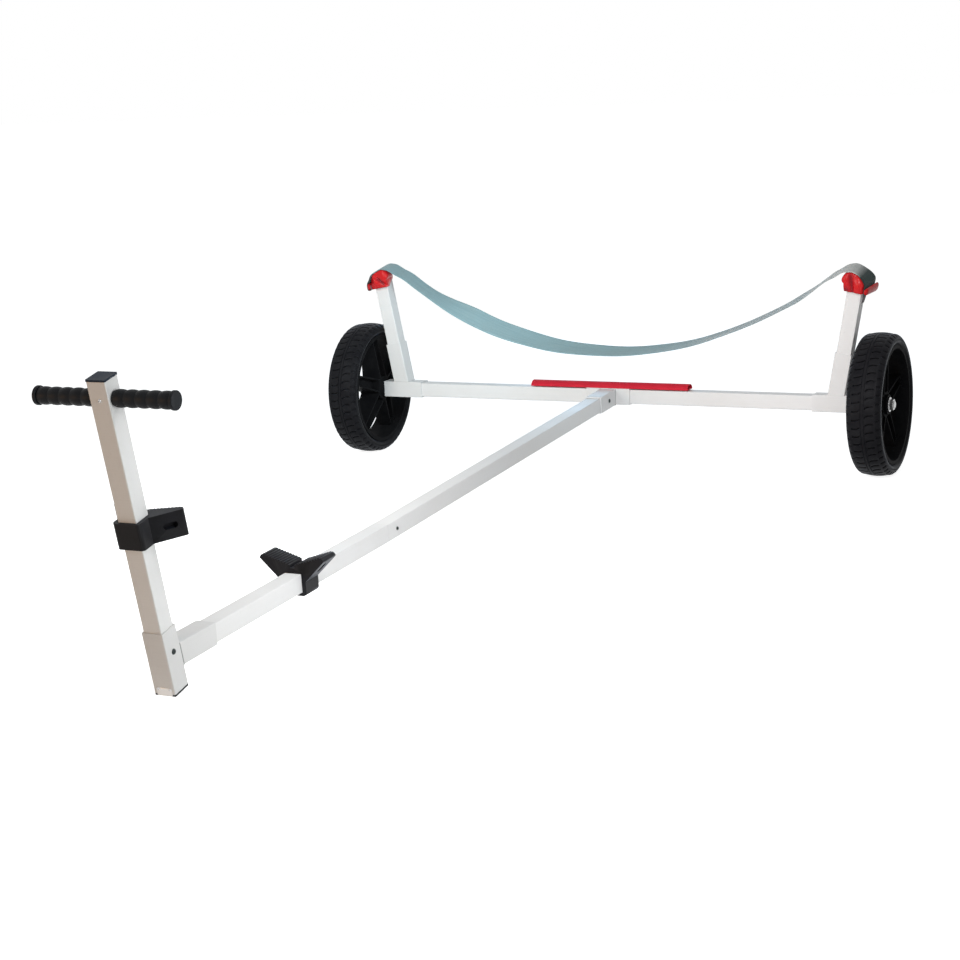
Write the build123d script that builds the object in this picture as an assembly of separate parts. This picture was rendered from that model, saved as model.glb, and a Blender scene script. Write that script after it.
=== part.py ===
from build123d import *
import math
import os

# A launching trolley for a small sailing dinghy, built from square aluminium tube.
# A crossbeam carries a wheel at each end, two leaning uprights with a webbing strap
# slung between them for the hull, and a two-piece drawbar that runs forward to a
# leaning handle post.  A V chock on the drawbar takes the keel, and the same chock
# on the post takes the bow.
#
# Millimetres and degrees.  +X is the right-hand side seen from the handle end, +Y
# runs to the back, +Z is up.  The origin is on the floor, under the middle of the
# whole trolley.  The wheels and the foot of the handle post stand on the floor.

os.makedirs("parts", exist_ok=True)

# ---------------------------------------------------------------- driving dimensions
# square tube and the sockets that it plugs into
tube = 40.0                  # outer side of every square tube
tube_wall = 2.5
tube_corner = 2.0            # outer corner radius of tube and socket
hole_corner = 0.5            # corner radius inside them
socket_wall = 2.5
fit_gap = 0.5                # clearance on each side of a tube in its socket

# wheels
wheel_radius = 191.5
tyre_width = 91.0
tyre_height = 38.0           # from the rim's seat out to the tread
shoulder_radius = 13.0
wheel_x = 772.0              # middle of each wheel from the centre line
bead_rise = 6.0              # how far the tyre's side slopes in to the rim's lip
bead_gap = 1.0               # between the tyre's side and the top of the lip
rim_wall = 4.0
rim_lip = 6.0                # how far the rim's lips stand above the tyre's seat
rim_lip_width = 4.0
rim_inset = 3.5              # the rim's lips lie this far inside the tyre's faces
spoke_count = 5
spoke_width_hub = 40.0       # across a spoke at the hub
spoke_width_rim = 30.0       # across a spoke at the rim
spoke_depth_hub = 62.0       # along the axle
spoke_depth_rim = 40.0
spoke_wall = 5.0
spoke_web = 12.0             # left between the pockets in a spoke's two faces
spoke_root = 3.0             # how deep a spoke starts inside the hub
spoke_pocket_foot = 6.0      # from the hub to the pockets
spoke_pocket_head = 8.0      # from the pockets to the rim's barrel
hub_radius = 27.0
hub_length = 78.0
axle_radius = 10.0
axle_run_gap = 0.08          # between the axle and the hub's bore
axle_fixed_gap = 0.05        # between the axle and its plug or its nut
axle_chamfer = 1.5
hub_side_gap = 1.0           # between a hub's face and the beam plug or the washer
tyre_seat_gap = 0.1          # between the tyre and the rim's seat

# crossbeam and what it carries at its ends
beam_end_in = 58.5           # from a wheel's middle in to the beam's end
end_sleeve_length = 122.5
upright_in = 56.2            # from the beam's end in to where an upright's axis meets its sleeve
upright_lean = 10.3          # outward from vertical
upright_socket = 114.5       # length of the leaning socket along its axis
upright_seat = 6.0           # lower end of an upright above the sleeve's top
upright_length = 298.0
plug_flange = 3.0
plug_depth = 70.0
plug_corner = 1.0
axle_in_beam = 120.0
washer_radius = 20.0
washer_thickness = 2.5
nut_across = 28.0
nut_height = 10.0
axle_tip = 3.0               # thread that stands out of the nut

# drawbar
rear_slope = 3.26            # the drawbar falls towards the handle
front_slope = 2.56
rear_length = 1391.5         # beam axis to the joint in the drawbar
front_length = 855.5         # joint to the handle post's axis
joint_gap = 0.6              # left open between the two halves
spigot_half = 110.0          # the inner sleeve's reach into each half
spigot_wall = 2.5
tee_sleeve_half = 65.0       # half the length of the rear tee's sleeve on the beam
tee_socket = 129.0           # beam axis to the open end of the rear tee's socket
tube_end_gap = 0.5           # between a tube's end and the wall that stops it
front_sleeve = 142.5         # post axis to the open end of the front tee's sleeve

# handle post
post_lean = 10.22            # forward, beyond square to the front drawbar
post_top = 557.5             # along the post, from the drawbar's axis
socket_top = 59.7            # upper end of the post's socket, from the same place
foot_plate = 4.0
foot_boss = 12.0
cap_plate = 4.0
cap_boss = 14.0
cap_overlap = 0.8            # how far the post's cap stands out past the tube
plug_gap = 0.2               # round a boss inside its tube

# handlebar
bar_drop = 37.5              # below the post's top
bar_radius = 11.0
bar_hole_gap = 0.15
grip_radius = 14.6           # at the bottom of the grip's waves
grip_wave = 2.1              # height of the waves
grip_waves = 5
grip_flange_radius = 17.9    # at the grip's outer end
grip_flange = 7.0
grip_round = 1.5             # the flange's rounded edges
grip_end = 4.0               # closed end of the grip beyond the bar
grip_post_gap = 1.5          # between the post and a grip's inner end
handle_half = 148.6
grip_gap = 0.1               # between the bar and the grip

# V chocks
chock_gap = 0.6              # round the tube that a chock slides on
chock_side_wall = 9.0
chock_front_wall = 6.5
chock_length = 52.0          # along the tube
chock_corner = 8.0
groove_half = 6.0            # half width of the groove at the bottom of the V
groove_floor = 32.0          # from the tube's axis
v_root = 38.0                # where the V's face starts beside the groove
v_tip_x = 70.0
v_tip_y = 58.0
wing_tip_x = 77.0
wing_tip_y = 50.5
flank_root_y = 4.0           # where a wing's outer flank leaves the collar's side
wing_round = 3.5             # rounded tips of the wings
rib_count = 9
rib_margin = 0.8             # of the ribs' pitch, left over at the ends of a wing
rib_height = 1.5
rib_width = 4.2
pocket_length = 28.0         # moulded pocket in a wing's flank
pocket_width = 12.5
pocket_depth = 14.0
pocket_out = 3.5             # the pocket's middle, outward from the flank's middle
bow_chock_at = 259.5         # middle of the chock along the post
keel_chock_at = 358.0        # middle of the chock from the drawbar joint

# saddles on the uprights and the strap between them
crown_radius = 57.0          # the long curve that the strap lies on, from the roll to the slot
crown_from = 5.0             # degrees from the upright's line at which that curve starts
crown_to = 55.0              # and ends
roll_radius = 16.0           # the roll at the crown's inner end
roll_rise = 19.0             # the roll's centre above the upright's top
lip_radius = 10.0            # the crown's outer end, above the slot
saddle_skirt = 22.0          # the saddle's lower end below the upright's top
saddle_depth = 76.0          # front to back
saddle_tilt = 9.5            # the crown falls to the front
saddle_round = 10.0          # corners seen from above
saddle_inner_wall = 3.5      # between the upright's bore and the saddle's inner side
saddle_wall = 8.0            # between the upright's bore and the strap's slot
strap_slot = 5.0             # width of the slot beside the crown
keeper_thickness = 7.0       # the bar beyond the slot
keeper_top = 1.0             # below the upright's top
keeper_length = 15.0         # from the keeper's top down
keeper_round = 3.4
bridge_drop = 3.0            # top of the end walls that carry the keeper, below its own top
strap_thickness = 2.4
strap_width = 66.0
strap_gap = 0.4              # between the strap and what it lies on
strap_low = 124.5            # lowest point of the strap's middle line above the beam's axis
strap_steepen = 0.16         # how far the sag departs from a parabola towards its ends
strap_bend = 165.0           # radius at which the strap bends over before it reaches a roll
strap_land = 5.0             # degrees short of a roll's top where it comes to lie on it
strap_tail = 40.0            # the right-hand end, below the upright's top
loop_leave = 40.0            # degrees from the upright's line where the left end leaves its crown
loop_bend = 18.0             # radius at which it turns down outside the keeper
loop_end = 4.0               # the left-hand end, inside its slot, below the upright's top
strap_hang_steps = 30
strap_bend_steps = 10
strap_crown_steps = 14
strap_turn_steps = 10

# hollow fender on the crossbeam
fender_half = 237.0
fender_width = 40.0
fender_height = 15.5
fender_wall = 2.8

# ---------------------------------------------------------------- derived places
bore = tube + 2 * fit_gap
socket = bore + 2 * socket_wall
inner = tube - 2 * tube_wall
beam_z = wheel_radius
beam_half = wheel_x - beam_end_in
upright_x = beam_half - upright_in
upright_top = upright_seat + upright_length
seat_radius = wheel_radius - tyre_height
rim_width = tyre_width - 2 * rim_inset
bar_height = post_top - bar_drop
slope_1 = math.radians(rear_slope)
slope_2 = math.radians(front_slope)
lean = math.radians(post_lean)
post_angle = slope_2 + lean                    # the post's lean from vertical

# along the drawbar, in a frame whose Y is measured from the axle
joint_y = -rear_length * math.cos(slope_1)
joint_z = beam_z - rear_length * math.sin(slope_1)
foot_y = joint_y - front_length * math.cos(slope_2)
foot_z = joint_z - front_length * math.sin(slope_2)

# the foot reaches the floor with its front edge
foot_reach = (foot_z - socket / 2 * math.sin(post_angle)) / math.cos(post_angle)
socket_bottom = foot_reach - foot_plate
post_bottom = socket_bottom - foot_boss - tube_end_gap

# the foremost point is the front edge of the post's cap
cap_half = tube / 2 + cap_overlap
front_y = foot_y - (post_top + cap_plate) * math.sin(post_angle) - cap_half * math.cos(post_angle)
axle_y = -(front_y + wheel_radius) / 2         # puts the origin under the middle

axle_point = Vector(0, axle_y, beam_z)
joint_point = Vector(0, axle_y + joint_y, joint_z)
foot_point = Vector(0, axle_y + foot_y, foot_z)
rear_dir = Vector(0, -math.cos(slope_1), -math.sin(slope_1))
front_dir = Vector(0, -math.cos(slope_2), -math.sin(slope_2))
post_dir = Vector(0, -math.sin(post_angle), math.cos(post_angle))

# each plane's normal runs along its tube
beam_plane = Plane(origin=axle_point, x_dir=(0, 1, 0), z_dir=(1, 0, 0))
rear_plane = Plane(origin=axle_point, x_dir=(1, 0, 0), z_dir=rear_dir)
front_plane = Plane(origin=joint_point, x_dir=(1, 0, 0), z_dir=front_dir)
post_plane = Plane(origin=foot_point, x_dir=(1, 0, 0), z_dir=post_dir)

# distances at which a tube's end clears the wall of the piece that it runs into
rear_stop = socket / 2 / math.cos(slope_1) + bore / 2 * math.tan(slope_1)
front_stop = socket / 2 / math.cos(lean) + bore / 2 * math.tan(lean)

# the right-hand upright's plane: local X points outward, local Y runs up the upright
tilt = math.radians(upright_lean)
upright_foot = Vector(upright_x, axle_y, beam_z + socket / 2)
upright_out = Vector(math.cos(tilt), 0, -math.sin(tilt))
upright_dir = Vector(math.sin(tilt), 0, math.cos(tilt))
saddle_plane = Plane(origin=upright_foot, x_dir=upright_out, z_dir=(0, -1, 0))
upright_plane = Plane(origin=upright_foot, x_dir=upright_out, z_dir=upright_dir)
crown_dir = Vector(0, math.cos(math.radians(saddle_tilt)), math.sin(math.radians(saddle_tilt)))


# ---------------------------------------------------------------- shared shapes
def square_bar(plane, start, end, side, corner=tube_corner):
    """A solid square bar along the plane's normal."""
    profile = RectangleRounded(side, side, corner)
    return extrude(plane.offset(start) * profile, end - start)


def square_tube(plane, start, end, side, wall):
    """A square tube along the plane's normal."""
    return square_bar(plane, start, end, side) - square_bar(plane, start, end, side - 2 * wall, hole_corner)


def square_hole(plane, start, end):
    """What a socket leaves free for its tube."""
    return square_bar(plane, start, end, bore, hole_corner)


def round_bar(plane, start, end, radius):
    """A round bar along the plane's normal."""
    return extrude(plane.offset(start) * Circle(radius), end - start)


def mirrored(shape):
    """The same shape on the other side of the centre line."""
    return mirror(shape, about=Plane.YZ)


def save(name, shape):
    """Write one sub-part as its own STEP file."""
    solids = shape.solids()
    body = solids[0] if len(solids) == 1 else Compound(children=solids)
    body.label = name
    export_step(body, f"parts/{name}.step")


def save_pair(name, right):
    """Write a piece on the right and its mirror image on the left."""
    save(f"{name}_right", right)
    save(f"{name}_left", mirrored(right))


# ---------------------------------------------------------------- crossbeam
def crossbeam():
    return square_tube(beam_plane, -beam_half, beam_half, tube, tube_wall)


def rear_tee():
    """A sleeve on the beam with a socket welded on for the drawbar."""
    body = square_bar(beam_plane, -tee_sleeve_half, tee_sleeve_half, socket)
    body += square_bar(rear_plane, 0, tee_socket, socket)
    body -= square_hole(beam_plane, -tee_sleeve_half, tee_sleeve_half)
    body -= square_hole(rear_plane, rear_stop, tee_socket)
    return body


def end_bracket():
    """A sleeve on the beam's end with a leaning socket welded on for the upright."""
    body = square_bar(beam_plane, beam_half - end_sleeve_length, beam_half, socket)
    above = Pos(upright_x, axle_y, beam_z + socket / 2 + upright_socket) * Box(
        2 * upright_socket, 2 * socket, 2 * upright_socket)
    body += square_bar(upright_plane, -socket / 2, upright_socket, socket) & above
    body -= square_hole(beam_plane, beam_half - end_sleeve_length, beam_half)
    body -= square_hole(upright_plane, upright_seat - tube_end_gap, upright_socket)
    return body


def upright():
    return square_tube(upright_plane, upright_seat, upright_top, tube, tube_wall)


def beam_plug():
    """Closes the beam's end and carries the axle."""
    side = inner - 2 * plug_gap
    hole = axle_radius + axle_fixed_gap
    body = square_bar(beam_plane, beam_half - plug_depth, beam_half, side, plug_corner)
    body += square_bar(beam_plane, beam_half, beam_half + plug_flange, tube)
    body -= round_bar(beam_plane, beam_half - plug_depth, beam_half + plug_flange, hole)
    return body


hub_inner = beam_half + plug_flange + hub_side_gap
hub_outer = hub_inner + hub_length
washer_x = hub_outer + hub_side_gap
nut_x = washer_x + washer_thickness
axle_end = nut_x + nut_height + axle_tip


def axle():
    bar = round_bar(beam_plane, beam_half - axle_in_beam, axle_end, axle_radius)
    return chamfer(bar.edges().group_by(Axis.X)[-1], axle_chamfer)


def axle_nut():
    """Washer and hexagon nut on the outer end of the axle."""
    flat_to_corner = nut_across / math.sqrt(3)
    body = round_bar(beam_plane, washer_x, nut_x, washer_radius)
    body += extrude(beam_plane.offset(nut_x) * RegularPolygon(flat_to_corner, 6), nut_height)
    body -= round_bar(beam_plane, washer_x, nut_x + nut_height, axle_radius + axle_fixed_gap)
    return body


# ---------------------------------------------------------------- wheels
wheel_plane = Plane(origin=(wheel_x, axle_y, beam_z), x_dir=(1, 0, 0), z_dir=(0, -1, 0))
wheel_axis = Axis((wheel_x, axle_y, beam_z), (1, 0, 0))


def tyre():
    """A solid ring with rounded shoulders, pulled in beside the rim's lips."""
    half = tyre_width / 2
    seat = rim_width / 2 - rim_lip_width - tyre_seat_gap
    lip = seat_radius + rim_lip + bead_gap
    inside = seat_radius + tyre_seat_gap
    outline = [(-seat, inside), (seat, inside), (seat, lip), (half, lip + bead_rise), (half, wheel_radius),
               (-half, wheel_radius), (-half, lip + bead_rise), (-seat, lip)]
    face = make_face(Polyline(*outline, close=True))
    shoulders = [v for v in face.vertices() if v.Y > wheel_radius - 0.01]
    return revolve(wheel_plane * fillet(shoulders, shoulder_radius), wheel_axis)


def rim():
    """A moulded rim: hub, barrel with two lips, and hollow-backed spokes."""
    half = rim_width / 2
    seat = half - rim_lip_width
    barrel_inside = seat_radius - rim_wall
    outline = [(-half, barrel_inside), (half, barrel_inside), (half, seat_radius + rim_lip),
               (seat, seat_radius + rim_lip), (seat, seat_radius), (-seat, seat_radius),
               (-seat, seat_radius + rim_lip), (-half, seat_radius + rim_lip)]
    body = revolve(wheel_plane * make_face(Polyline(*outline, close=True)), wheel_axis)
    body += round_bar(beam_plane, hub_inner, hub_outer, hub_radius)
    middle = (hub_inner + hub_outer) / 2
    for i in range(spoke_count):
        turn = Rotation(i * 360 / spoke_count, 0, 0)
        body += Pos(middle, axle_y, beam_z) * turn * spoke(middle)
    body -= round_bar(beam_plane, hub_inner, hub_outer, axle_radius + axle_run_gap)
    return body


def spoke(middle):
    """One spoke standing up from the hub, tapered in width and in depth, with open pockets
    on both faces that leave a web between two walls."""
    low = hub_radius - spoke_root
    high = seat_radius - rim_wall / 2
    shift = wheel_x - middle

    def section(height, width, depth, offset):
        return Plane(origin=(offset, 0, height), x_dir=(1, 0, 0), z_dir=(0, 0, 1)) * Rectangle(depth, width)

    whole = loft([section(low, spoke_width_hub, spoke_depth_hub, 0),
                  section(high, spoke_width_rim, spoke_depth_rim, shift)])
    foot_width = spoke_width_hub - 2 * spoke_wall
    head_width = spoke_width_rim - 2 * spoke_wall
    pocket_low = hub_radius + spoke_pocket_foot
    pocket_high = seat_radius - rim_wall - spoke_pocket_head
    for side in (-1, 1):
        foot = side * (spoke_depth_hub + spoke_web) / 2
        head = side * (spoke_depth_rim + spoke_web) / 2 + shift
        whole -= loft([section(pocket_low, foot_width, spoke_depth_hub, foot),
                       section(pocket_high, head_width, spoke_depth_rim, head)])
    return whole


# ---------------------------------------------------------------- drawbar
def drawbar_rear():
    return square_tube(rear_plane, rear_stop + tube_end_gap, rear_length - joint_gap / 2, tube, tube_wall)


def drawbar_front():
    return square_tube(front_plane, joint_gap / 2, front_length - front_stop - tube_end_gap, tube, tube_wall)


def drawbar_spigot():
    """The inner sleeve that joins the two halves, bent to follow both."""
    side = inner - 2 * plug_gap
    body = square_bar(rear_plane, rear_length - spigot_half, rear_length, side)
    body += square_bar(front_plane, 0, spigot_half, side)
    hole = side - 2 * spigot_wall
    body -= square_bar(rear_plane, rear_length - spigot_half, rear_length, hole, hole_corner)
    body -= square_bar(front_plane, 0, spigot_half, hole, hole_corner)
    return body


def front_tee():
    """An upright socket for the handle post with a sleeve welded on for the drawbar."""
    body = square_bar(front_plane, front_length - front_sleeve, front_length, socket)
    body += square_bar(post_plane, -socket_bottom, socket_top, socket)
    body -= square_hole(post_plane, -socket_bottom, socket_top)
    body -= square_hole(front_plane, front_length - front_sleeve, front_length - front_stop)
    return body


# ---------------------------------------------------------------- handle post
bar_plane = Plane(origin=foot_point + post_dir * bar_height, x_dir=(0, 1, 0), z_dir=(1, 0, 0))


def handle_post():
    body = square_tube(post_plane, -post_bottom, post_top, tube, tube_wall)
    body -= round_bar(bar_plane, -tube, tube, bar_radius + bar_hole_gap)
    return body


def foot_cap():
    """A plate under the post's socket with a boss that plugs into it."""
    body = square_bar(post_plane, -foot_reach, -socket_bottom, socket)
    body += square_bar(post_plane, -socket_bottom, -socket_bottom + foot_boss, bore - 2 * plug_gap)
    return body


def post_cap():
    body = square_bar(post_plane, post_top, post_top + cap_plate, 2 * cap_half)
    body += square_bar(post_plane, post_top - cap_boss, post_top, inner - 2 * plug_gap)
    return body


def handlebar():
    length = handle_half - grip_end - grip_gap
    return round_bar(bar_plane, -length, length, bar_radius)


def grip():
    """A rubber grip with rounded waves and a closed outer end with a flange."""
    start = tube / 2 + grip_post_gap
    waves_to = handle_half - grip_flange
    bar_end = handle_half - grip_end
    pitch = (waves_to - start) / grip_waves
    axis_y = bar_plane.origin.Y
    axis_z = bar_plane.origin.Z
    plane = Plane(origin=(0, axis_y, axis_z), x_dir=(1, 0, 0), z_dir=(0, -1, 0))
    hole = bar_radius + grip_gap
    edges = [Line((start, hole), (start, grip_radius))]
    for i in range(grip_waves):
        x = start + i * pitch
        crest = (x + pitch / 2, grip_radius + grip_wave)
        edges.append(ThreePointArc((x, grip_radius), crest, (x + pitch, grip_radius)))
    edges.append(Polyline((waves_to, grip_radius), (waves_to, grip_flange_radius),
                          (handle_half, grip_flange_radius), (handle_half, 0), (bar_end, 0), (bar_end, hole),
                          (start, hole)))
    face = make_face(edges)
    rim_corners = [v for v in face.vertices() if v.Y > grip_flange_radius - 0.01]
    return revolve(plane * fillet(rim_corners, grip_round), Axis((0, axis_y, axis_z), (1, 0, 0)))


# ---------------------------------------------------------------- V chocks
def chock(plane, at):
    """A square collar with two ribbed wings that form a V, and a moulded pocket in each
    wing's outer flank.  Local Y points out of the V."""
    half_hole = tube / 2 + chock_gap
    side = half_hole + chock_side_wall
    front = half_hole + chock_front_wall
    right = [(groove_half, groove_floor), (groove_half, v_root), (v_tip_x, v_tip_y),
             (wing_tip_x, wing_tip_y), (side, flank_root_y), (side, -front)]
    left = [(-x, y) for x, y in reversed(right)]
    face = make_face(Polyline(*right, *left, close=True))
    lower = [v for v in face.vertices() if abs(v.Y + front) < 0.01]
    face = fillet(lower, chock_corner)
    tips = [v for v in face.vertices() if abs(v.X) > v_tip_x - 0.01]
    face = fillet(tips, wing_round)
    slope = math.atan2(v_tip_y - v_root, v_tip_x - groove_half)
    rib_pitch = math.hypot(v_tip_x - groove_half, v_tip_y - v_root) / (rib_count + rib_margin)
    for i in range(rib_count):
        along = rib_pitch * (i + (1 + rib_margin) / 2)
        x = groove_half + along * math.cos(slope)
        y = v_root + along * math.sin(slope)
        for s in (-1, 1):
            face += Pos(s * x, y) * Rot(0, 0, s * math.degrees(slope)) * Ellipse(rib_width / 2, rib_height)
    face -= Rectangle(2 * half_hole, 2 * half_hole)
    middle = plane.offset(at)
    body = extrude(middle * face, chock_length / 2, both=True)
    flank = math.atan2(wing_tip_y - flank_root_y, wing_tip_x - side)
    for s in (-1, 1):
        along = (s * math.cos(flank), math.sin(flank), 0)
        outward = (s * math.sin(flank), -math.cos(flank), 0)
        centre = (s * ((side + wing_tip_x) / 2 + pocket_out * math.cos(flank)),
                  (flank_root_y + wing_tip_y) / 2 + pocket_out * math.sin(flank), 0)
        local = Plane(origin=centre, x_dir=along, z_dir=outward)
        pocket = extrude(SlotOverall(pocket_length, pocket_width), pocket_depth, both=True)
        body -= middle.location * local.location * pocket
    return body


# ---------------------------------------------------------------- saddles and strap
saddle_bottom = upright_top - saddle_skirt
slot_inner = bore / 2 + saddle_wall
slot_outer = slot_inner + strap_slot
keeper_outer = slot_outer + keeper_thickness
strap_lift = strap_gap + strap_thickness / 2          # the strap's middle above what it lies on


def polar(centre, radius, degrees):
    """The point of a circle at an angle outward from the plane's Y."""
    turn = math.radians(degrees)
    return centre[0] + radius * math.sin(turn), centre[1] + radius * math.cos(turn)


# centres of the three curves of a crown: the roll, the long curve and the lip above the slot
lip_x = slot_inner - lip_radius
long_x = polar((lip_x, 0), lip_radius - crown_radius, crown_to)[0]
roll_x = polar((long_x, 0), crown_radius - roll_radius, crown_from)[0]
roll_centre = (roll_x, upright_top + roll_rise)
long_centre = polar(roll_centre, roll_radius - crown_radius, crown_from)
lip_centre = polar(long_centre, crown_radius - lip_radius, crown_to)


def saddle():
    """A moulded cap on an upright: a crown that the strap lies on, with a roll on its inner
    side, falling to the front, and a keeper bar beyond a slot."""
    low = saddle_bottom - 2 * saddle_depth
    inside = -(bore / 2 + saddle_inner_wall)
    start = polar(long_centre, crown_radius, crown_from)
    brow = polar(long_centre, crown_radius, crown_to)
    edge = polar(lip_centre, lip_radius, 90)
    outline = [ThreePointArc(start, polar(long_centre, crown_radius, (crown_from + crown_to) / 2), brow),
               ThreePointArc(brow, polar(lip_centre, lip_radius, (crown_to + 90) / 2), edge),
               Polyline(edge, (slot_inner, low), (inside, low), (inside, roll_centre[1]), start)]
    crown = make_face(outline) + Pos(*roll_centre) * Circle(roll_radius)
    top = upright_top - keeper_top
    keeper = Pos(slot_outer + keeper_thickness / 2, top - keeper_length / 2) * RectangleRounded(
        keeper_thickness, keeper_length, keeper_round)
    slot_middle = Pos((slot_inner + slot_outer) / 2, top - keeper_length / 2)
    slot = slot_middle * Rectangle(strap_slot, keeper_length)
    bridge = slot_middle * Rectangle(strap_slot + saddle_wall, keeper_length - 2 * bridge_drop)

    def along_crown(face, reach=2 * saddle_depth):
        return extrude(saddle_plane * face, reach, dir=crown_dir, both=True)

    foot = upright_plane.offset(saddle_bottom)
    inner_end = roll_centre[0] - roll_radius
    height = saddle_skirt + roll_rise + roll_radius + saddle_depth
    plan = Pos((inner_end + keeper_outer) / 2, 0) * RectangleRounded(
        keeper_outer - inner_end, saddle_depth, saddle_round)
    body = along_crown(crown) + along_crown(keeper) + along_crown(bridge)
    body -= along_crown(slot, strap_width / 2 + strap_gap)
    body &= extrude(foot * plan, height)
    body -= square_hole(upright_plane, saddle_bottom, upright_top + tube_end_gap)
    return body


def in_world(point):
    """A point of the right-hand saddle's plane as (X, Z)."""
    place = upright_foot + upright_out * point[0] + upright_dir * point[1]
    return place.X, place.Z


def bend_points(centre, radius, start, end, steps):
    """Points along a circle between two angles, without the first."""
    return [polar(centre, radius, start + (end - start) * (i + 1) / steps) for i in range(steps)]


def strap_hang():
    """The strap's middle line from the centre line to where it comes to lie on the right-hand
    roll, as (X, Z): a sag, and a wide bend over before the roll."""
    low = beam_z + strap_low
    span = in_world(roll_centre)[0]
    land = strap_land + upright_lean
    centre = in_world(polar(roll_centre, roll_radius + strap_lift - strap_bend, -land))

    def joint(degrees):
        return polar(centre, strap_bend, -degrees)

    def kink(degrees):
        x, z = joint(degrees)
        u = strap_steepen * (x / span) ** 2
        return abs(math.tan(math.radians(degrees)) - (z - low) * (2 + 4 * u) / (x * (1 + u)))

    turn = min((0.1 * i for i in range(850)), key=kink)
    reach, top = joint(turn)
    curve = (top - low) / (reach ** 2 * (1 + strap_steepen * (reach / span) ** 2))
    line = []
    for i in range(strap_hang_steps):
        x = reach * i / strap_hang_steps
        line.append((x, low + curve * x ** 2 * (1 + strap_steepen * (x / span) ** 2)))
    line.append((reach, top))
    return line + bend_points(centre, strap_bend, -turn, -strap_land, strap_bend_steps)


def crown_points(leave):
    """The strap's middle line over a crown, from where it lands to an angle of the long curve."""
    land = -(strap_land + upright_lean)
    points = bend_points(roll_centre, roll_radius + strap_lift, land, crown_from, strap_turn_steps)
    return points + bend_points(long_centre, crown_radius + strap_lift, crown_from, leave, strap_crown_steps)


def strap_through():
    """The right-hand end: over the crown's lip and down through the slot."""
    points = crown_points(crown_to)
    points += bend_points(lip_centre, lip_radius + strap_lift, crown_to, 90, strap_turn_steps)
    points.append((slot_inner + strap_lift, upright_top - strap_tail))
    return [in_world(point) for point in points]


def strap_loop():
    """The left-hand end, as on the right: outside the keeper, round under it and up the slot."""
    points = crown_points(loop_leave)
    outside = keeper_outer + strap_lift
    inside = slot_inner + strap_lift
    leave = math.radians(loop_leave)
    run = (outside - points[-1][0] - loop_bend * (1 - math.sin(leave))) / math.cos(leave)
    bend_from = (points[-1][0] + run * math.cos(leave), points[-1][1] - run * math.sin(leave))
    points.append(bend_from)
    centre = polar(bend_from, -loop_bend, loop_leave)
    points += bend_points(centre, loop_bend, loop_leave, 90, strap_turn_steps)
    under = upright_top - keeper_top - keeper_length + keeper_round
    half = (outside - inside) / 2
    points.append((outside, under))
    points += bend_points((outside - half, under), half, 90, 270, strap_turn_steps)
    points.append((inside, upright_top - loop_end))
    return [in_world(point) for point in points]


def strap():
    """The webbing strap: looped round the left keeper, over both crowns with a deep sag
    between them, and down through the right saddle's slot."""
    hang = strap_hang()
    right = hang + strap_through()
    left = hang[1:] + strap_loop()
    line = [(-x, z) for x, z in reversed(left)] + right
    band = []
    for side in (1, -1):
        edge = []
        for i in range(len(line)):
            before = line[max(i - 1, 0)]
            after = line[min(i + 1, len(line) - 1)]
            length = math.hypot(after[0] - before[0], after[1] - before[1])
            across = (-(after[1] - before[1]) / length, (after[0] - before[0]) / length)
            reach = side * strap_thickness / 2
            edge.append((line[i][0] + across[0] * reach, line[i][1] + across[1] * reach))
        band += edge if side > 0 else list(reversed(edge))
    upright_sheet = Plane(origin=(0, axle_y, 0), x_dir=(1, 0, 0), z_dir=(0, -1, 0))
    face = upright_sheet * make_face(Polyline(*band, close=True))
    return extrude(face, strap_width / 2, dir=crown_dir, both=True)


def fender():
    """A hollow D-section fender that lies on the rear tee and shields the beam."""
    def section(half, low, spring, top):
        arch = ThreePointArc((half, spring), (0, top), (-half, spring))
        return make_face([Line((-half, low), (half, low)), Line((half, low), (half, spring)), arch,
                          Line((-half, spring), (-half, low))])

    spring = fender_height / 3
    half = fender_width / 2
    face = section(half, 0, spring, fender_height)
    face -= section(half - fender_wall, fender_wall, spring, fender_height - fender_wall)
    across = Plane(origin=(0, axle_y, beam_z + socket / 2), x_dir=(0, 1, 0), z_dir=(1, 0, 0))
    return extrude(across * face, fender_half, both=True)


# ---------------------------------------------------------------- write every piece
save("crossbeam", crossbeam())
save("rear_tee", rear_tee())
save("drawbar_rear", drawbar_rear())
save("drawbar_spigot", drawbar_spigot())
save("drawbar_front", drawbar_front())
save("front_tee", front_tee())
save("foot_cap", foot_cap())
save("handle_post", handle_post())
save("post_cap", post_cap())
save("handlebar", handlebar())
save_pair("grip", grip())
save("bow_chock", chock(post_plane, bow_chock_at))
save("keel_chock", chock(front_plane, keel_chock_at))
save_pair("end_bracket", end_bracket())
save_pair("upright", upright())
save_pair("saddle", saddle())
save("strap", strap())
save("fender", fender())
save_pair("beam_plug", beam_plug())
save_pair("axle", axle())
save_pair("axle_nut", axle_nut())
save_pair("rim", rim())
save_pair("tyre", tyre())
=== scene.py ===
"""Looks of the dinghy launching trolley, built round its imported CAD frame.  Metres; +Z is up."""
import math

import bmesh
import bpy
import numpy as np
from mathutils import Matrix, Vector

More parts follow.
